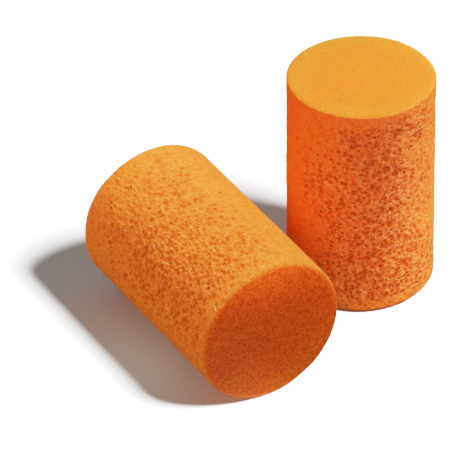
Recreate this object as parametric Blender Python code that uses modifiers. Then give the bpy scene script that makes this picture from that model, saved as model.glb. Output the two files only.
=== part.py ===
"""A pair of cylindrical foam ear plugs: one stands on its moulded end, the other lies on its side."""

import math

import bpy
from mathutils import Matrix, Vector

MM = 0.001

# Each plug is one solid of slow-recovery foam: a flat cut end, a rounder moulded end, a very slight taper.
# The standing plug is a little slimmer than the lying one, and its cut edge crisper, as the photograph shows them.
LENGTH = 20.0 * MM
STANDING_CUT_RADIUS = 6.27 * MM
STANDING_MOULDED_RADIUS = 6.4 * MM
LYING_CUT_RADIUS = 6.5 * MM
LYING_MOULDED_RADIUS = 6.63 * MM
STANDING_CUT_EDGE = 0.2 * MM
LYING_CUT_EDGE = 0.5 * MM
MOULDED_EDGE = 0.7 * MM
TURN_STEPS = 96
EDGE_STEPS = 6
MERGE = 1e-5

# Where the lying plug's middle is from the standing plug's axis, and the way its cut end points.
LYING_X = -12.93 * MM
LYING_Y = -8.34 * MM
LYING_AZIMUTH = math.radians(-59.79)

FOAM_COLOUR = (0.90, 0.27, 0.03, 1.0)
FOAM_ROUGHNESS = 0.85


def clear_scene():
    for obj in list(bpy.data.objects):
        bpy.data.objects.remove(obj, do_unlink=True)


def make_collection(name):
    collection = bpy.data.collections.new(name)
    bpy.context.scene.collection.children.link(collection)
    return collection


def foam_material(name, colour):
    material = bpy.data.materials.new(name)
    material.use_nodes = True
    shader = material.node_tree.nodes["Principled BSDF"]
    shader.inputs["Base Color"].default_value = colour
    shader.inputs["Roughness"].default_value = FOAM_ROUGHNESS
    material.diffuse_color = colour
    return material


def rounded_corner(radius, height, edge, start):
    """Points of a quarter round from the angle `start` down to start - 90 degrees, centred inside the corner."""
    points = []
    for i in range(EDGE_STEPS + 1):
        angle = math.radians(start) - math.pi / 2 * i / EDGE_STEPS
        points.append((radius - edge + edge * math.cos(angle), height + edge * math.sin(angle)))
    return points


def half_section(cut_radius, cut_edge, moulded_radius):
    """(radius, height) pairs from the cut end's centre, down the side, to the moulded end's centre."""
    cut = rounded_corner(cut_radius, LENGTH - cut_edge, cut_edge, 90)
    moulded = rounded_corner(moulded_radius, MOULDED_EDGE, MOULDED_EDGE, 0)
    return [(0.0, LENGTH), *cut, *moulded, (0.0, 0.0)]


def turned_plug(name, section, origin_height, material, collection):
    """The half section, with `origin_height` of it at the object's origin, turned about the object's Z axis."""
    mesh = bpy.data.meshes.new(name)
    mesh.from_pydata(
        [(radius, 0.0, height - origin_height) for radius, height in section],
        [(i, i + 1) for i in range(len(section) - 1)],
        [],
    )
    mesh.materials.append(material)
    plug = bpy.data.objects.new(name, mesh)
    collection.objects.link(plug)
    screw = plug.modifiers.new("turn", "SCREW")
    screw.axis = "Z"
    screw.angle = 2 * math.pi
    screw.steps = screw.render_steps = TURN_STEPS
    screw.use_merge_vertices = True
    screw.merge_threshold = MERGE
    screw.use_smooth_shade = True
    return plug


def lie_down(plug):
    """Lays the plug on one flat of its side: the slight taper tips its cut end down by a fraction of a degree."""
    flat = math.cos(math.pi / TURN_STEPS)
    run = LENGTH - LYING_CUT_EDGE - MOULDED_EDGE
    taper = LYING_MOULDED_RADIUS - LYING_CUT_RADIUS
    tip = math.atan(flat * taper / run)
    middle_radius = LYING_MOULDED_RADIUS - (LENGTH / 2 - MOULDED_EDGE) / run * taper
    heading = Vector((math.cos(LYING_AZIMUTH), math.sin(LYING_AZIMUTH), 0.0))
    down = Vector((0.0, 0.0, -1.0))
    along = heading * math.cos(tip) + down * math.sin(tip)
    under = down * math.cos(tip) - heading * math.sin(tip)
    across = along.cross(under)
    turn = Matrix((under, across, along)).transposed().to_4x4()
    half_step = Matrix.Rotation(-math.pi / TURN_STEPS, 4, "Z")
    place = Matrix.Translation((LYING_X, LYING_Y, middle_radius * flat * math.cos(tip)))
    plug.matrix_world = place @ turn @ half_step


def bounds(objects):
    bpy.context.view_layer.update()
    graph = bpy.context.evaluated_depsgraph_get()
    points = []
    for obj in objects:
        mesh = obj.evaluated_get(graph).to_mesh()
        points += [obj.matrix_world @ vertex.co for vertex in mesh.vertices]
    low = Vector([min(p[axis] for p in points) for axis in range(3)])
    high = Vector([max(p[axis] for p in points) for axis in range(3)])
    return low, high


def centre_on_origin(objects):
    """Moves the pair so that the middle of its footprint is at X = Y = 0 and its lowest point at Z = 0."""
    low, high = bounds(objects)
    offset = Vector(((low.x + high.x) / 2, (low.y + high.y) / 2, low.z))
    for obj in objects:
        obj.matrix_world = Matrix.Translation(-offset) @ obj.matrix_world


def main():
    clear_scene()
    collection = make_collection("foam_ear_plugs")
    standing = turned_plug(
        "standing_plug",
        half_section(STANDING_CUT_RADIUS, STANDING_CUT_EDGE, STANDING_MOULDED_RADIUS),
        0.0,
        foam_material("standing_plug_foam", FOAM_COLOUR),
        collection,
    )
    lying = turned_plug(
        "lying_plug",
        half_section(LYING_CUT_RADIUS, LYING_CUT_EDGE, LYING_MOULDED_RADIUS),
        LENGTH / 2,
        foam_material("lying_plug_foam", FOAM_COLOUR),
        collection,
    )
    lie_down(lying)
    centre_on_origin([standing, lying])


main()
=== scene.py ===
"""The looks of two foam ear plugs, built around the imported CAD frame. Every length is in metres."""

import math

import bpy
import numpy as np
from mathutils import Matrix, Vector
from mathutils.kdtree import KDTree


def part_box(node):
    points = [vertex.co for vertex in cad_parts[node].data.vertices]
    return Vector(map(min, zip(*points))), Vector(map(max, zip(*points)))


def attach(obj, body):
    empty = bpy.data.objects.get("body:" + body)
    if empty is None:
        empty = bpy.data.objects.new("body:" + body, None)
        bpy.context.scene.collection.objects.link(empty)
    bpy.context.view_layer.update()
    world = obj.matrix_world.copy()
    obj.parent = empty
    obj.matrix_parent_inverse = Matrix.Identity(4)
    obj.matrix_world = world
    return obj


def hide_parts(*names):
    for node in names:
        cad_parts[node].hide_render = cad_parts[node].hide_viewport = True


MM = 0.001
PLUGS = ("standing_plug", "lying_plug")
SEED_STEP = 100

# ---- The mesh ----

# How rounded the rims are, as in the CAD.
CUT_EDGE = {"standing_plug": 0.2 * MM, "lying_plug": 0.5 * MM}
MOULDED_EDGE = 0.7 * MM
RIM_STEPS = 24

# About 0.1 mm between points on the side and 0.2 mm on the ends.
COLUMNS = 432
ROWS = 212
RING_STEP = 0.2 * MM
SMALLEST_RING = 1.2 * RING_STEP
FEWEST_IN_RING = 6
# What each point of the mesh tells the material, from 0 to 1: how open the pore is that it is in, whether
# it is on an end, how coarse the skin is, and how near it is to an end's edge, over this reach.
LABELS = ("pore", "cut_face", "coarse", "rim")
RIM_REACH = 2.6 * MM

# The noise: how many random values its table has, a shift that keeps the numbers of its cells above 0,
# and the factors that scatter those numbers over the table.
NOISE_TABLE = 4096
NOISE_SHIFT = 1000.0
NOISE_HASH = (73856093, 19349663, 83492791)

# Each plug's skin is open-pored on two sides. "front" and "back" are the ways that they face, "edge" is
# the cosine where the front one starts, "most" is how coarse the skin gets, and "fades" are the lengths
# over which the smoothness of the moulded and of the cut end gives way.
ROUGH_SIDE = {
    "standing_plug": {
        "front": (0.242, -0.970, 0.0),
        "back": (0.259, 0.966, 0.0),
        "edge": 0.32,
        "most": 1.0,
        "fades": (1.6 * MM, 2.4 * MM),
    },
    "lying_plug": {
        "front": (-0.642, -0.374, 0.669),
        "back": (0.642, 0.374, -0.669),
        "edge": 0.40,
        "most": 0.85,
        "fades": (7.5 * MM, 2.0 * MM),
    },
}
# The same for both: the cosine where the back side starts, how coarse it is beside the front one, how
# softly both start, the patches that break their borders (strength, width), the smooth strips next to the
# moulded and the cut end, and how coarse the other sides and the ends of the side stay.
BACK_EDGE = 0.05
BACK_SHARE = 0.8
SIDE_FADE = 0.70
SIDE_PATCHES = ((0.32, 4.0 * MM), (0.22, 1.2 * MM))
SMOOTH_STRIPS = (0.8 * MM, 0.2 * MM)
SMOOTH_SIDES = 0.12
SMOOTH_ENDS = 0.15

# The dents in the side, in three sizes: how far apart, how wide from the middle out, what share of them
# is open, and how deep at most.
PORE_LAYERS = (
    (0.48 * MM, 0.24 * MM, 0.75, 0.12 * MM),
    (0.75 * MM, 0.375 * MM, 0.34, 0.17 * MM),
    (1.30 * MM, 0.2852 * MM, 0.18, 0.22 * MM),
)
# How far a pore may be from its place on a grid, as a share of the pitch, the fewest pores that go
# around, and the smallest one beside the largest.
PORE_JITTER = 0.42
FEWEST_AROUND = 8
PORE_SMALLEST = 0.45
# How a layer's share of open pores follows the skin: its factor where the skin is smooth, what full
# coarseness adds to that factor, the patches of noise (strength, width) that vary it, and by how much.
# Then how sharply open pores part from closed ones.
PORES_WHERE_SMOOTH = 0.08
PORES_WHERE_COARSE = 1.1
PORE_PATCHES = ((0.5, 2.6 * MM), (0.5, 1.1 * MM))
PATCHINESS = 0.5
OPEN_SHARPNESS = 6
# How far a pore's bowl reaches and how thick the wall beside it is, as shares of the layer's second
# value, and how deep the pores are in smooth skin beside coarse skin.
BOWL_REACH = 1.5
WALL_THICKNESS = 0.35
DEPTH_WHERE_SMOOTH = 0.5
# Slow swellings and grain of the side, and grain and waviness of the ends: half the height, and the
# width. The noise of the ends is read from this far off along the axis, and twice as far, so that the two
# differ.
SWELLINGS = ((0.045 * MM, 3.4 * MM), (0.020 * MM, 0.7 * MM))
SIDE_GRAIN = (0.012 * MM, 0.22 * MM)
END_GRAIN = (0.010 * MM, 0.26 * MM)
END_WAVES = (0.02 * MM, 2.4 * MM)
END_SHIFT = 31 * MM

# ---- The foam's colours, with light and shade painted into them ----

# The darker and the paler parts of each plug's skin, and its cell walls, whose paler colour is partly
# painted sheen. The plugs are the same foam: their skin colours differ as painted light and shade, the
# standing plug's redder for its side in shadow and the lying plug's yellower for its lit top.
SKIN = {
    "standing_plug": ((0.94, 0.185, 0.012, 1), (1.0, 0.250, 0.026, 1), (1.0, 0.380, 0.140, 1)),
    "lying_plug": ((0.90, 0.222, 0.017, 1), (1.0, 0.305, 0.033, 1), (1.0, 0.385, 0.105, 1)),
}
# Each plug's pore colour: their own deeper red, darkened as painted shade in the pores, and differing
# between the plugs as painted shade. Then how shiny its skin is and how strong its painted glints are.
PORE_COLOUR_AND_SHADE = {"standing_plug": (0.45, 0.036, 0.0006, 1), "lying_plug": (0.66, 0.092, 0.003, 1)}
SHINE = {"standing_plug": (0.26, 0.4), "lying_plug": (0.20, 0.7)}
# Each plug's end faces: the colour near the rim, lighter as painted light that scatters in from the lit
# side, and at the middle, darker as painted shade (most on the lying plug, whose cut end faces away from
# the light), and how strong the grain is. The moulded end has the same as the cut one.
CUT_FACE = {
    "standing_plug": ((0.95, 0.312, 0.033, 1), (0.92, 0.255, 0.021, 1), 0.26),
    "lying_plug": ((1.0, 0.310, 0.026, 1), (0.86, 0.170, 0.012, 1), 0.85),
}
# How shiny the cut faces are, the colours of their streaks and of their fuzz, and how strong the fuzz is
# beside the grain.
CUT_SHINE = 0.10
CUT_SHADE = (0.62, 0.09, 0.004, 1)
CUT_FUZZ = (1.0, 0.30, 0.09, 1)
CUT_FUZZ_SHARE = 0.8
# The grain of the cut faces: three directions square to one another, and how wide its noise is along
# each.
GRAIN_WAYS = ((0.708, 0.412, 0.573), (-0.495, -0.288, 0.820), (0.503, -0.864, 0.0))
GRAIN_SIZES = (0.28 * MM, 0.15 * MM, 0.28 * MM)
# Painted glints on the skin, pale specks in its colour that stand in for highlights: their colour, how far
# apart, and how far from its middle one fades. Then the foam's roughness, and what a glint adds to it.
PAINTED_GLINT_COLOUR = (1.0, 0.58, 0.19, 1)
GLINT_PITCH = 0.58 * MM
GLINT_FADE = (0.09, 0.19)
ROUGHNESS = 0.68
GLINT_ROUGHNESS = -0.12

# Cells painted on the skin between the dents: how wide, how much shorter along Z, how wide, how often
# open and how deep the small ones are beside the others, and the noise that bends their walls.
CELL_SIZE = 0.54 * MM
CELL_SQUASH = 1.45
SMALL_CELL = 0.6
SMALL_CELL_SHARE = 0.8
SMALL_CELL_DEPTH = 0.55
BEND_SIZE = 0.45 * MM
BEND_REACH = 0.30 * MM
# Spots of noise: how wide, how detailed, how rough, and the values between which they go from 0 to 1.
BUSY = (1.5 * MM, 3.0, 0.5, 0.34, 0.62)
MOTTLE = (0.34 * MM, 3.0, 0.6, 0.34, 0.66)
BLOTCH = (3.0 * MM, 2.0, 0.5, 0.30, 0.70)
SPECK = (0.26 * MM, 4.0, 0.5, 0.36, 0.64)
FINE_SIZE = 0.15 * MM
# The values between which other things fade in or out: how sure it is that a cell is open, the inside of
# a cell, the wall between cells, the paleness and painted sheen of walls, and the streaks and the fuzz of
# an end face.
OPEN_STEP = (-0.10, 0.15)
BOWL_STEP = (0.08, 0.58)
WALL_STEP = (0.02, 0.20)
PALE_STEP = (0.35, 0.65)
STREAK_STEP = (0.36, 0.64)
FUZZ_STEP = (0.50, 0.75)
# Pairs of (gain, offset). What share of the painted cells is open, by how busy the skin is there, and on
# any skin; how pale the cell walls are with painted sheen and how dark the pores are with painted shade,
# by how coarse the skin is.
OPEN_SHARE = (0.36, 0.66)
OPEN_ANYWAY = 0.04
PALE_WALLS_AND_SHEEN = (0.72, 0.08)
PIT_SHADE = (0.35, 0.50)
# What makes an end face take its middle's colour: its blotches, being away from its rim (painted shade,
# darker towards the middle), and its specks.
BLOTCH_SHADE = (0.4, 0.6)
SHADE_AND_BLOTCH_INSIDE = 0.7
DEEP_FROM_SPECKS = 0.3
# The painted relief: how high the cell walls stand beside the pores' depth, how it follows how coarse the
# skin is, how strong the fine grain is on a cut face and everywhere, and the height of it all.
RELIEF_OF_WALLS = 0.5
RELIEF_OF_COARSE = (0.60, 0.40)
RELIEF_OF_FINE = (0.6, 0.30)
BUMP = 0.16 * MM
# How much of the light goes into the foam (what the ends add, and what the side has), and how far it goes
# there in red, green and blue, on the side and on the ends.
SCATTER_WEIGHT = (0.55, 0.30)
SCATTER_SIDE = (1.0, 0.018, 0.008, 1)
SCATTER_CUT = (0.85, 0.110, 0.050, 1)
SCATTER_SCALE = 7.0 * MM

# ---- The studio ----

# The camera, as it stands to the standing plug's base.
CAMERA_FROM_PLUG = Vector((-11.54, -233.8, 176.3)) * MM
CAMERA_PITCH = 0.6324
CAMERA_ROLL = -0.0227
CAMERA_LENS = 272.0
CAMERA_SENSOR = 36.0
CAMERA_SEES = (5 * MM, 10.0)

# The floor is a little below the plugs, so that it never shows through them. It shows white, but throws
# less light back than that, as a lit sweep further off would.
FLOOR_REACH = 2.5
FLOOR_DROP = 0.02 * MM
FLOOR_SEEN = (0.96, 0.96, 0.96, 1)
FLOOR_BOUNCE = (0.09, 0.050, 0.040, 1)
FLOOR_ROUGHNESS = 0.9
WORLD_SEEN = ((1, 1, 1, 1), 3.2)
WORLD_LIGHT = ((1.15, 1.05, 1.0, 1), 0.18)

WHITE = (1.0, 1.0, 1.0)
WARM = (1.0, 0.74, 0.60)
PINK = (1.0, 0.47, 0.32)
RED = (1.0, 0.56, 0.32)
DEEP_RED = (1.0, 0.30, 0.06)
SKY = (0.3, 0.95, 1.0)
AQUA = (0.60, 1.0, 0.82)
EMBER = (1.0, 0.36, 0.16)
BLUSH = (1.0, 0.95, 1.3)

# Soft suns: each one's name, azimuth (0 is +X, 90 is +Y) and elevation in degrees, strength as a multiple
# of pi, spread in degrees, colour, what it lights, and what can shade it from that (None is everything).
SUNS = (
    ("key_on_standing_plug", 18, 44, 1.46, 14, WHITE, ("standing",), None),
    ("key_on_lying_plug", 33, 60, 1.13, 14, WHITE, ("lying",), ("lying",)),
    ("key_on_floor", -29, 52, 2.95, 11.5, WHITE, ("floor",), None),
    ("sky_on_floor", 0, 90, 0.03, 180, SKY, ("floor",), None),
    ("fill_on_standing_plug", -84, 25, 0.50, 80, WARM, ("standing",), ("standing", "lying")),
    ("fill_on_lying_plug", 205, 25, 0.38, 80, RED, ("lying",), None),
    ("fill_on_cut_face", -52, 30, 0.03, 60, RED, ("lying",), None),
    ("left_fill_on_standing_plug", 190, 32, 0.51, 46, DEEP_RED, ("standing",), None),
    ("left_fill_on_lying_plug", 190, 15, 0.44, 80, WARM, ("lying",), None),
    ("bounce_from_floor", -80, -70, 0.33, 110, PINK, ("standing", "lying"), ("standing", "lying")),
)
# Small lights: each one's name, the plug it stands by, how far from that plug's middle in millimetres,
# its power in watts, its colour, and what it lights. Nothing blocks them.
GLOWS = (
    ("light_on_far_end", "lying_plug", (-4.57, 7.51, 14.37), 0.0006, BLUSH, "lying"),
    ("glow_in_lying_shadow", "lying_plug", (-6.07, -4.49, 1.37), 0.0003, AQUA, "floor"),
    ("bounce_on_standing_plug", "standing_plug", (4.48, -18.83, -13.0), 0.0028, WARM, "standing"),
    ("bounce_from_right", "standing_plug", (12.5, -11.0, -2.5), 0.0027, BLUSH, "standing"),
    ("bounce_on_cut_face", "lying_plug", (4.73, -10.79, -8.23), 0.00125, WARM, "lying"),
    ("light_on_cut_rim", "lying_plug", (7.03, -11.39, 5.47), 0.00046, RED, "lying"),
    ("light_on_right_rim", "lying_plug", (11.43, -8.69, -3.63), 0.00018, EMBER, "lying"),
)
GLOW_SIZE = 3 * MM

# The film's curve: how bright the scene is, and how bright it comes out.
FILM = (
    (0, 0),
    (0.10, 0.10),
    (0.37, 0.37),
    (0.60, 0.55),
    (0.80, 0.68),
    (1.0, 0.76),
    (1.3, 0.83),
    (1.7, 0.91),
    (2.0, 0.965),
    (2.2, 1.0),
)


# ---- The mesh of a plug ----


def plug_axis(name, node):
    """A plug's place and size, read from its CAD node: the axis runs from the moulded end to the cut end."""
    points = np.unique(np.round([v.co for v in node.data.vertices], 7), axis=0)
    middle = points.mean(0)
    axis = np.linalg.svd(points - middle, full_matrices=False)[2][0]
    along = (points - middle) @ axis
    radii = np.linalg.norm(points - middle - np.outer(along, axis), axis=1)
    if radii[along > 0].max() > radii[along < 0].max():
        axis, along = -axis, -along
    return {
        "base": middle + axis * along.min(),
        "axis": axis,
        "length": along.max() - along.min(),
        "cut": radii[along > 0].max(),
        "moulded": radii[along < 0].max(),
        "cut_edge": CUT_EDGE[name],
        "name": name,
    }


def plug_basis(plug):
    """Rows that turn a plug's own coordinates, with its axis along z, into the frame's."""
    z = plug["axis"]
    x = np.cross((0, 0, 1), z)
    x = np.array([1.0, 0, 0]) if np.linalg.norm(x) < 0.5 else x / np.linalg.norm(x)
    return np.stack([x, np.cross(z, x), z])


def side_profile(plug):
    """The side from one end's flat to the other's: (radius, height) points, normals, and the way walked."""
    wide, narrow, length, edge = plug["moulded"], plug["cut"], plug["length"], plug["cut_edge"]
    bend = np.linspace(0, math.pi / 2, RIM_STEPS)
    low = np.stack([wide + MOULDED_EDGE * (np.sin(bend) - 1), MOULDED_EDGE * (1 - np.cos(bend))], 1)
    high = np.stack([narrow + edge * (np.cos(bend) - 1), length + edge * (np.sin(bend) - 1)], 1)
    line = np.concatenate([low, high])
    walked = np.concatenate([[0], np.cumsum(np.linalg.norm(np.diff(line, axis=0), axis=1))])
    at = np.linspace(0, walked[-1], ROWS)
    points = np.stack([np.interp(at, walked, line[:, k]) for k in (0, 1)], 1)
    slope = np.gradient(points, axis=0)
    slope /= np.linalg.norm(slope, axis=1)[:, None]
    return points, np.stack([slope[:, 1], -slope[:, 0]], 1), at


def turned(radius, angle, height):
    """Points at that radius and angle round the plug's axis, and at that height."""
    return np.stack([radius * np.cos(angle), radius * np.sin(angle), height], 1)


def smooth(x):
    """0 below 0, 1 above 1, and smooth in between."""
    x = np.clip(x, 0, 1)
    return x * x * (3 - 2 * x)


def lattice_noise(points, pitch, seed):
    """Smooth seeded noise between -1 and 1 at 3-D points, with lumps about pitch wide."""
    table = np.random.default_rng(seed).uniform(-1, 1, NOISE_TABLE)
    scaled = points / pitch + NOISE_SHIFT
    cell = np.floor(scaled).astype(np.int64)
    part = smooth(scaled - cell)
    total = np.zeros(len(points))
    for corner in range(8):
        step = np.array([corner & 1, corner >> 1 & 1, corner >> 2 & 1])
        x, y, z = ((cell + step) * NOISE_HASH).T
        weight = np.prod(np.where(step, part, 1 - part), axis=1)
        total += weight * table[(x ^ y ^ z) % NOISE_TABLE]
    return total


def patches_of(points, layers, seed):
    """Layers of noise together, each with its (strength, width)."""
    return sum(
        strength * lattice_noise(points, width, seed + 1 + k) for k, (strength, width) in enumerate(layers)
    )


def raised(points, layer, seed):
    """Noise from 0 to twice the layer's first value, with lumps as wide as its second."""
    half, width = layer
    return half * (1 + lattice_noise(points, width, seed))


def coarseness(points, along, reach, plug, seed):
    """From 0 where the side's skin is smooth to 1 where its pores are open."""
    rough, basis = ROUGH_SIDE[plug["name"]], plug_basis(plug)
    out = points * (1, 1, 0)
    out /= np.linalg.norm(out, axis=1)[:, None]
    patches = patches_of(points, SIDE_PATCHES, seed)
    front = smooth((out @ (basis @ np.array(rough["front"])) + patches - rough["edge"]) / SIDE_FADE)
    back = smooth((out @ (basis @ np.array(rough["back"])) + patches - BACK_EDGE) / SIDE_FADE)
    sides = np.maximum(front, BACK_SHARE * back)
    from_moulded = smooth((along - SMOOTH_STRIPS[0]) / rough["fades"][0])
    from_cut = smooth((reach - along - SMOOTH_STRIPS[1]) / rough["fades"][1])
    sides = SMOOTH_SIDES + (1 - SMOOTH_SIDES) * sides
    ends = from_moulded * from_cut
    return rough["most"] * sides * (SMOOTH_ENDS + (1 - SMOOTH_ENDS) * ends)


def scatter_on_side(profile, at, pitch, rng):
    """The middles of pores on the plug's side, on a shaken grid of that pitch."""
    middles = []
    for row in range(int(at[-1] / pitch)):
        v = (row + 0.5) * pitch
        radius = np.interp(v, at, profile[:, 0])
        around = max(FEWEST_AROUND, int(2 * math.pi * radius / pitch))
        angle = (np.arange(around) + 0.5 * (row % 2)) * 2 * math.pi / around
        angle += rng.uniform(-PORE_JITTER, PORE_JITTER, around) * pitch / radius
        v = np.clip(v + rng.uniform(-PORE_JITTER, PORE_JITTER, around) * pitch, 0, at[-1])
        middles.append(turned(np.interp(v, at, profile[:, 0]), angle, np.interp(v, at, profile[:, 1])))
    return np.concatenate(middles)


def nearest_two(points, middles):
    """For each point the index of its nearest middle and the distances to the two nearest."""
    tree = KDTree(len(middles))
    for k, middle in enumerate(middles):
        tree.insert(middle, k)
    tree.balance()
    found = [tree.find_n(p, 2) for p in points]
    return (
        np.array([f[0][1] for f in found]),
        np.array([f[0][2] for f in found]),
        np.array([f[1][2] for f in found]),
    )


def foam_relief(points, profile, at, coarse, seed):
    """How deep the side is dented at each point, in metres, and how open the pore there is from 0 to 1."""
    rng = np.random.default_rng(seed)
    depth = np.zeros(len(points))
    openness = np.zeros(len(points))
    patches = patches_of(points, PORE_PATCHES, seed)
    for pitch, reach, share, deepest in PORE_LAYERS:
        middles = scatter_on_side(profile, at, pitch, rng)
        size = rng.uniform(PORE_SMALLEST, 1.0, len(middles))
        rank = rng.uniform(0, 1, len(middles))
        nearest, first, second = nearest_two(points, middles)
        opened = share * (PORES_WHERE_SMOOTH + PORES_WHERE_COARSE * coarse) * (1 + PATCHINESS * patches)
        is_open = smooth((opened - rank[nearest]) * OPEN_SHARPNESS + 0.5)
        bowl = smooth(1 - first / (reach * size[nearest] * BOWL_REACH))
        wall = smooth((second - first) / (WALL_THICKNESS * reach))
        pore = bowl * wall * is_open * size[nearest]
        depth = np.maximum(depth, deepest * pore)
        openness = np.maximum(openness, pore)
    share = DEPTH_WHERE_SMOOTH + (1 - DEPTH_WHERE_SMOOTH) * coarse
    grain = raised(points, SIDE_GRAIN, seed + 4)
    swell = raised(points, SWELLINGS[0], seed + 3) + raised(points, SWELLINGS[1], seed + 5)
    return depth * share + grain + swell, openness * share


def end_relief(points, end, seed):
    """How deep an end's face is dented: a fine grain and a slight waviness."""
    moved = points + np.array([0, 0, END_SHIFT * (1 + end)])
    return raised(moved, END_GRAIN, seed + 11) + raised(moved, END_WAVES, seed + 12)


def zip_rings(outer, inner):
    """Triangles between two closed rings of points that start at the same angle and may differ in number."""
    faces, i, j = [], 0, 0
    n, m = len(outer), len(inner)
    while i < n or j < m:
        if j == m or (i < n and (i + 1) * m <= (j + 1) * n):
            faces.append((outer[i], outer[(i + 1) % n], inner[j % m]))
            i += 1
        else:
            faces.append((outer[i % n], inner[(j + 1) % m], inner[j]))
            j += 1
    return faces


def side_part(plug, profile, normal, at, seed):
    """The side's points, their labels, and its faces."""
    radius, height, out, up, along = (np.repeat(v, COLUMNS) for v in (*profile.T, *normal.T, at))
    angle = np.tile(np.arange(COLUMNS) * 2 * math.pi / COLUMNS, ROWS)
    points = turned(radius, angle, height)
    coarse = coarseness(points, along, at[-1], plug, seed)
    dent, pore = foam_relief(points, profile, at, coarse, seed)
    points -= dent[:, None] * turned(out, angle, up)
    on_rim = smooth((along - at[-1]) / (plug["cut_edge"] * math.pi / 2) + 1)
    faces = []
    for row in range(ROWS - 1):
        a, b = row * COLUMNS, (row + 1) * COLUMNS
        faces += [
            (a + k, a + (k + 1) % COLUMNS, b + (k + 1) % COLUMNS, b + k) for k in range(COLUMNS)
        ]
    return points, (pore, on_rim, coarse, np.ones(len(points))), faces


def end_part(edge, ring, count, end, seed):
    """An end's points, labels and faces, inside that ring of the side. Its edge is at (radius, height)."""
    flat, height = edge
    inward = -1 if end else 1
    parts, faces = [], []
    radius = flat - RING_STEP
    while radius > SMALLEST_RING:
        n = max(FEWEST_IN_RING, int(round(2 * math.pi * radius / RING_STEP)))
        points = turned(radius, np.arange(n) * 2 * math.pi / n, np.full(n, height))
        parts.append((points, np.full(n, 1 - smooth((flat - radius) / RIM_REACH))))
        inner = list(range(count, count + n))
        faces += zip_rings(ring, inner)
        ring, count = inner, count + n
        radius -= RING_STEP
    parts.append((np.array([[0, 0, height]]), np.zeros(1)))
    faces += [(ring[k], ring[(k + 1) % len(ring)], count) for k in range(len(ring))]
    points, rim = (np.concatenate(values) for values in zip(*parts))
    points[:, 2] += inward * end_relief(points, end, seed)
    labels = (np.zeros(len(points)), np.ones(len(points)), np.zeros(len(points)), rim)
    return points, labels, faces if end else [f[::-1] for f in faces]


def plug_mesh(name, plug, seed):
    """One closed mesh of a whole plug, with its labels."""
    profile, normal, at = side_profile(plug)
    parts = [side_part(plug, profile, normal, at, seed)]
    for end, row in ((1, ROWS - 1), (0, 0)):
        ring = list(range(row * COLUMNS, (row + 1) * COLUMNS))
        count = sum(len(points) for points, _, _ in parts)
        parts.append(end_part(profile[row], ring, count, end, seed))
    local = np.concatenate([points for points, _, _ in parts])
    mesh = bpy.data.meshes.new(name)
    mesh.from_pydata(
        (local @ plug_basis(plug) + plug["base"]).tolist(), [], [f for _, _, faces in parts for f in faces]
    )
    for k, label in enumerate(LABELS):
        values = np.concatenate([labels[k] for _, labels, _ in parts])
        mesh.attributes.new(label, "FLOAT", "POINT").data.foreach_set("value", values.astype(np.float32))
    mesh.shade_smooth()
    return mesh


# ---- Shader nodes ----


def feed(tree, socket, value):
    """Sets an input socket to a value, or links it to an output socket."""
    if isinstance(value, bpy.types.NodeSocket):
        tree.links.new(value, socket)
    else:
        socket.default_value = value


def node_of(tree, kind, **inputs):
    """A new shader node with some of its inputs set or linked."""
    node = tree.nodes.new(kind)
    for key, value in inputs.items():
        feed(tree, node.inputs[key], value)
    return node


def math_of(tree, operation, *values, clamp=False):
    """Arithmetic on up to three values."""
    node = tree.nodes.new("ShaderNodeMath")
    node.operation = operation
    node.use_clamp = clamp
    for socket, value in zip(node.inputs, values):
        feed(tree, socket, value)
    return node.outputs[0]


def times(tree, a, b):
    return math_of(tree, "MULTIPLY", a, b)


def line_of(tree, value, gain, offset):
    """The value times the gain, plus the offset."""
    return math_of(tree, "MULTIPLY_ADD", value, gain, offset)


def one_minus(tree, value):
    return math_of(tree, "SUBTRACT", 1.0, value)


def vector_math_of(tree, operation, *values):
    node = tree.nodes.new("ShaderNodeVectorMath")
    node.operation = operation
    for socket, value in zip(node.inputs, values):
        feed(tree, socket, value)
    return node


def step_of(tree, value, low, high):
    """0 below low, 1 above high, and smooth in between."""
    node = tree.nodes.new("ShaderNodeMapRange")
    node.interpolation_type = "SMOOTHSTEP"
    for name, setting in (("Value", value), ("From Min", low), ("From Max", high)):
        feed(tree, node.inputs[name], setting)
    return node.outputs["Result"]


def mix_of(tree, factor, a, b):
    """Colour a where the factor is 0 and colour b where it is 1."""
    node = tree.nodes.new("ShaderNodeMix")
    node.data_type = "RGBA"
    for k, value in ((0, factor), (6, a), (7, b)):
        feed(tree, node.inputs[k], value)
    return node.outputs[2]


def noise_of(tree, place, size, detail, roughness=0.5):
    """Noise with lumps about size metres wide."""
    inputs = {"Vector": place, "Scale": 1 / size, "Detail": detail, "Roughness": roughness}
    return node_of(tree, "ShaderNodeTexNoise", **inputs).outputs["Fac"]


def spots_of(tree, place, size, detail, roughness, low, high):
    """Soft-edged spots where that noise is high."""
    return step_of(tree, noise_of(tree, place, size, detail, roughness), low, high)


def cells_of(tree, place, size, feature="F1"):
    """Cells about size metres wide."""
    node = node_of(tree, "ShaderNodeTexVoronoi", Vector=place, Scale=1 / size)
    node.feature = feature
    return node


def label_of(tree, name):
    """A label that the mesh's points carry."""
    node = tree.nodes.new("ShaderNodeAttribute")
    node.attribute_name = name
    return node.outputs["Fac"]


# ---- The foam's material ----


def bent_place(tree, place):
    """The place for painted cells: shaken by noise, so that their walls aren't straight, and squashed."""
    bend = node_of(tree, "ShaderNodeTexNoise", Vector=place, Scale=1 / BEND_SIZE, Detail=1.0)
    bent = vector_math_of(tree, "MULTIPLY_ADD", bend.outputs["Color"], (BEND_REACH,) * 3, place)
    return vector_math_of(tree, "MULTIPLY", bent.outputs[0], (1, 1, CELL_SQUASH)).outputs[0]


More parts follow.
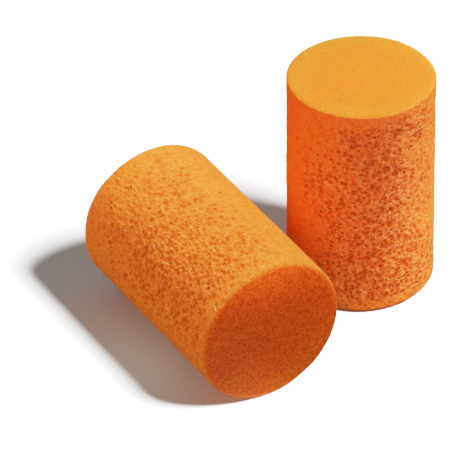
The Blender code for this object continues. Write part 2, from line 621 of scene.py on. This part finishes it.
def grain_of(tree, place):
    """Noise drawn out along the grain of the cut faces."""
    along = tree.nodes.new("ShaderNodeCombineXYZ")
    for socket, way, size in zip(along.inputs, GRAIN_WAYS, GRAIN_SIZES):
        dot = vector_math_of(tree, "DOT_PRODUCT", place, [w / size for w in way])
        tree.links.new(dot.outputs["Value"], socket)
    return node_of(tree, "ShaderNodeTexNoise", Vector=along.outputs[0], Scale=1.0, Detail=2.5).outputs["Fac"]


def open_cells(tree, place, size, share):
    """How far inside an open cell a place is, where that share of the cells is open."""
    cells = cells_of(tree, place, size)
    rank = node_of(tree, "ShaderNodeSeparateColor", Color=cells.outputs["Color"]).outputs["Red"]
    is_open = step_of(tree, math_of(tree, "SUBTRACT", share, rank), *OPEN_STEP)
    return times(tree, one_minus(tree, step_of(tree, cells.outputs["Distance"], *BOWL_STEP)), is_open)


def pits_of(tree, place, bent, coarse, pore):
    """How deep in a pore a place is: a dent of the mesh, or a painted cell of two sizes."""
    share = times(tree, coarse, line_of(tree, spots_of(tree, place, *BUSY), *OPEN_SHARE))
    share = math_of(tree, "ADD", share, OPEN_ANYWAY)
    medium = open_cells(tree, bent, CELL_SIZE, share)
    small = open_cells(tree, bent, SMALL_CELL * CELL_SIZE, times(tree, share, SMALL_CELL_SHARE))
    painted = math_of(tree, "MAXIMUM", medium, times(tree, small, SMALL_CELL_DEPTH))
    return math_of(tree, "MAXIMUM", painted, pore, clamp=True)


def skin_colour(tree, place, fine, ridge, pits, coarse, colours, pore_colour_and_shade):
    """Mottled skin, with pale cell walls that are partly painted sheen, and pores darkened by painted shade.
    """
    dark, light, wall = colours
    # Paler cell walls, partly painted sheen that the ridges catch.
    pale = times(tree, ridge, step_of(tree, fine, *PALE_STEP))
    pale = times(tree, pale, line_of(tree, coarse, *PALE_WALLS_AND_SHEEN))
    skin = mix_of(tree, pale, mix_of(tree, spots_of(tree, place, *MOTTLE), dark, light), wall)
    # The pores take their deeper colour, darkened further as painted shade.
    return mix_of(tree, times(tree, pits, line_of(tree, coarse, *PIT_SHADE)), skin, pore_colour_and_shade)


def cut_colour(tree, place, fine, rim, lit_rim_colour, middle, grain):
    """A cut face: painted light at its rim, painted shade away from it, specks, streaks along the grain and
    a pale fuzz.
    """
    blotch = line_of(tree, spots_of(tree, place, *BLOTCH), *BLOTCH_SHADE)
    # Away from the rim the face darkens towards its middle colour as painted shade, broken by blotches.
    inside = times(tree, times(tree, one_minus(tree, rim), blotch), SHADE_AND_BLOTCH_INSIDE)
    speck = times(tree, spots_of(tree, place, *SPECK), DEEP_FROM_SPECKS)
    flesh = mix_of(tree, math_of(tree, "ADD", inside, speck, clamp=True), lit_rim_colour, middle)
    streak = times(tree, step_of(tree, grain_of(tree, place), *STREAK_STEP), grain)
    fuzz = times(tree, step_of(tree, fine, *FUZZ_STEP), CUT_FUZZ_SHARE * grain)
    return mix_of(tree, fuzz, mix_of(tree, streak, flesh, CUT_SHADE), CUT_FUZZ)


def foam_material(name, plug):
    """Open-cell foam: pores with painted shade, walls with painted sheen and painted glints on the side;
    on the ends a finer grain, with painted light at the rim and painted shade inside.
    """
    skin_shine, painted_glint_strength = SHINE[plug]
    lit_rim_colour, middle, grain = CUT_FACE[plug]
    material = bpy.data.materials.new(name)
    material.use_nodes = True
    tree = material.node_tree
    bsdf = tree.nodes["Principled BSDF"].inputs
    place = tree.nodes.new("ShaderNodeTexCoord").outputs["Object"]
    pore, cut, coarse, rim = (label_of(tree, label) for label in LABELS)
    side = one_minus(tree, cut)
    bent = bent_place(tree, place)
    walls = cells_of(tree, bent, CELL_SIZE, "DISTANCE_TO_EDGE").outputs["Distance"]
    ridge = one_minus(tree, step_of(tree, walls, *WALL_STEP))
    pits = pits_of(tree, place, bent, coarse, pore)
    fine = noise_of(tree, place, FINE_SIZE, detail=2.0)

    skin = skin_colour(tree, place, fine, ridge, pits, coarse, SKIN[plug], PORE_COLOUR_AND_SHADE[plug])
    flesh = cut_colour(tree, place, fine, rim, lit_rim_colour, middle, grain)
    # Painted glints: pale specks mixed into the base colour, standing in for highlights.
    spots = cells_of(tree, place, GLINT_PITCH).outputs["Distance"]
    painted_glint = times(tree, one_minus(tree, step_of(tree, spots, *GLINT_FADE)), side)
    painted_glint = times(tree, painted_glint, painted_glint_strength)
    feed(tree, bsdf["Base Color"], mix_of(tree, painted_glint, mix_of(tree, cut, skin, flesh), PAINTED_GLINT_COLOUR))
    feed(tree, bsdf["Roughness"], line_of(tree, painted_glint, GLINT_ROUGHNESS, ROUGHNESS))
    shine = line_of(tree, side, skin_shine - CUT_SHINE, CUT_SHINE)
    feed(tree, bsdf["Specular IOR Level"], times(tree, shine, one_minus(tree, pits)))

    feed(tree, bsdf["Subsurface Weight"], line_of(tree, cut, *SCATTER_WEIGHT))
    feed(tree, bsdf["Subsurface Radius"], mix_of(tree, cut, SCATTER_SIDE, SCATTER_CUT))
    feed(tree, bsdf["Subsurface Scale"], SCATTER_SCALE)

    relief = math_of(tree, "SUBTRACT", times(tree, ridge, RELIEF_OF_WALLS), pits)
    relief = times(tree, times(tree, relief, line_of(tree, coarse, *RELIEF_OF_COARSE)), side)
    on_cut, on_side = RELIEF_OF_FINE
    height = math_of(tree, "MULTIPLY_ADD", fine, line_of(tree, cut, on_cut * grain, on_side), relief)
    bump = node_of(tree, "ShaderNodeBump", Strength=1.0, Distance=BUMP, Height=height)
    feed(tree, bsdf["Normal"], bump.outputs["Normal"])
    return material


def build_plug(node_name, seed, frame):
    """The foam that stands for one CAD plug."""
    name = node_name + "_foam"
    plug = plug_axis(node_name, frame["nodes"][node_name])
    piece = bpy.data.objects.new(name, plug_mesh(name, plug, seed))
    bpy.context.scene.collection.objects.link(piece)
    piece.data.materials.append(foam_material(name, node_name))
    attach(piece, node_name)
    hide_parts(node_name)
    return piece


# ---- The floor, the lights and the camera ----


def floor_material():
    """Plain white paper."""
    material = bpy.data.materials.new("studio_floor")
    material.use_nodes = True
    tree = material.node_tree
    bsdf = tree.nodes["Principled BSDF"].inputs
    seen = tree.nodes.new("ShaderNodeLightPath").outputs["Is Camera Ray"]
    feed(tree, bsdf["Base Color"], mix_of(tree, seen, FLOOR_BOUNCE, FLOOR_SEEN))
    feed(tree, bsdf["Roughness"], FLOOR_ROUGHNESS)
    feed(tree, bsdf["Specular IOR Level"], 0.0)
    return material


def build_floor():
    mesh = bpy.data.meshes.new("studio_floor")
    r = FLOOR_REACH
    mesh.from_pydata([(-r, -r, 0), (r, -r, 0), (r, r, 0), (-r, r, 0)], [], [(0, 1, 2, 3)])
    floor = bpy.data.objects.new("studio_floor", mesh)
    floor.location.z = -FLOOR_DROP
    bpy.context.scene.collection.objects.link(floor)
    mesh.materials.append(floor_material())
    return floor


def group_of(name, members):
    group = bpy.data.collections.new(name)
    for member in members:
        group.objects.link(member)
    return group


def sun(name, azimuth, elevation, strength, spread, colour, lit, blockers):
    """A soft sun on some objects only. Only the blockers shade it, or everything if there are none."""
    light = bpy.data.lights.new(name, "SUN")
    light.energy = math.pi * strength
    light.angle = math.radians(spread)
    light.color = colour
    lamp = bpy.data.objects.new(name, light)
    a, e = math.radians(azimuth), math.radians(elevation)
    towards = Vector((math.cos(e) * math.cos(a), math.cos(e) * math.sin(a), math.sin(e)))
    lamp.rotation_euler = towards.to_track_quat("Z", "Y").to_euler()
    bpy.context.scene.collection.objects.link(lamp)
    lamp.light_linking.receiver_collection = group_of(name + "_lights", lit)
    if blockers:
        lamp.light_linking.blocker_collection = group_of(name + "_blockers", blockers)


def glow(name, place, power, colour, lit):
    """A small light on one object. Its only blocker is its own lamp, so nothing shades it."""
    light = bpy.data.lights.new(name, "POINT")
    light.energy = power
    light.color = colour
    light.shadow_soft_size = GLOW_SIZE
    lamp = bpy.data.objects.new(name, light)
    lamp.location = place
    lamp.visible_camera = False
    bpy.context.scene.collection.objects.link(lamp)
    lamp.light_linking.receiver_collection = group_of(name + "_lights", [lit])
    lamp.light_linking.blocker_collection = group_of(name + "_blockers", [lamp])


def beside(plug, offset):
    """The place that is offset, in millimetres, from the middle of a plug."""
    low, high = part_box(plug)
    return (low + high) / 2 + Vector(offset) * MM


def build_lights(things):
    """All the lights, on the things that they name."""
    for name, azimuth, elevation, strength, spread, colour, lit, blockers in SUNS:
        lit, blockers = ([things[key] for key in keys or ()] for keys in (lit, blockers))
        sun(name, azimuth, elevation, strength, spread, colour, lit, blockers)
    for name, plug, offset, power, colour, lit in GLOWS:
        glow(name, beside(plug, offset), power, colour, things[lit])


def build_world():
    """White to the camera, and a faint warm light for everything else."""
    world = bpy.data.worlds.new("studio_sky")
    bpy.context.scene.world = world
    world.use_nodes = True
    tree = world.node_tree
    tree.nodes.clear()
    shown, lit = (
        node_of(tree, "ShaderNodeBackground", Color=colour, Strength=strength).outputs[0]
        for colour, strength in (WORLD_SEEN, WORLD_LIGHT)
    )
    mix = tree.nodes.new("ShaderNodeMixShader")
    seen = tree.nodes.new("ShaderNodeLightPath").outputs["Is Camera Ray"]
    for socket, value in zip(mix.inputs, (seen, lit, shown)):
        feed(tree, socket, value)
    out = tree.nodes.new("ShaderNodeOutputWorld")
    tree.links.new(mix.outputs[0], out.inputs["Surface"])


def film_curve(points):
    """A photographic curve that rolls off the highlights, over the plain Standard view."""
    view = bpy.context.scene.view_settings
    view.view_transform = "Standard"
    view.use_curve_mapping = True
    mapping = view.curve_mapping
    top = points[-1][0]
    mapping.white_level = (top, top, top)
    mapping.clip_max_x = 1.0
    mapping.extend = "HORIZONTAL"
    curve = mapping.curves[3]
    curve.points[0].location = (0, points[0][1])
    curve.points[1].location = (1, points[-1][1])
    for x, y in points[1:-1]:
        curve.points.new(x / top, y)
    mapping.update()


def build_camera():
    low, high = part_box("standing_plug")
    foot = Vector(((low.x + high.x) / 2, (low.y + high.y) / 2, low.z))
    data = bpy.data.cameras.new("studio_camera")
    data.lens = CAMERA_LENS
    data.sensor_width = CAMERA_SENSOR
    data.clip_start, data.clip_end = CAMERA_SEES
    camera = bpy.data.objects.new("studio_camera", data)
    bpy.context.scene.collection.objects.link(camera)
    camera.location = foot + CAMERA_FROM_PLUG
    forward = Vector((0, math.cos(CAMERA_PITCH), -math.sin(CAMERA_PITCH)))
    camera.rotation_euler = forward.to_track_quat("-Z", "Y").to_euler()
    camera.rotation_euler.rotate_axis("Z", CAMERA_ROLL)
    bpy.context.scene.camera = camera


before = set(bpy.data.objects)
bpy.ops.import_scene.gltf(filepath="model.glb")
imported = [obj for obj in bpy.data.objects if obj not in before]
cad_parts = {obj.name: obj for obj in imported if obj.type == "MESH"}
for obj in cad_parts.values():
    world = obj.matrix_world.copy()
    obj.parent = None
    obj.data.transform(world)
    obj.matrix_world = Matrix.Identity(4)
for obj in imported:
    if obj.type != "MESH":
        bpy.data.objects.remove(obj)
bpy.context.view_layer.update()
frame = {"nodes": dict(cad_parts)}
build_camera()
standing, lying = (build_plug(name, SEED_STEP * (k + 1), frame) for k, name in enumerate(PLUGS))
floor = build_floor()
build_world()
build_lights({"standing": standing, "lying": lying, "floor": floor})
film_curve(FILM)
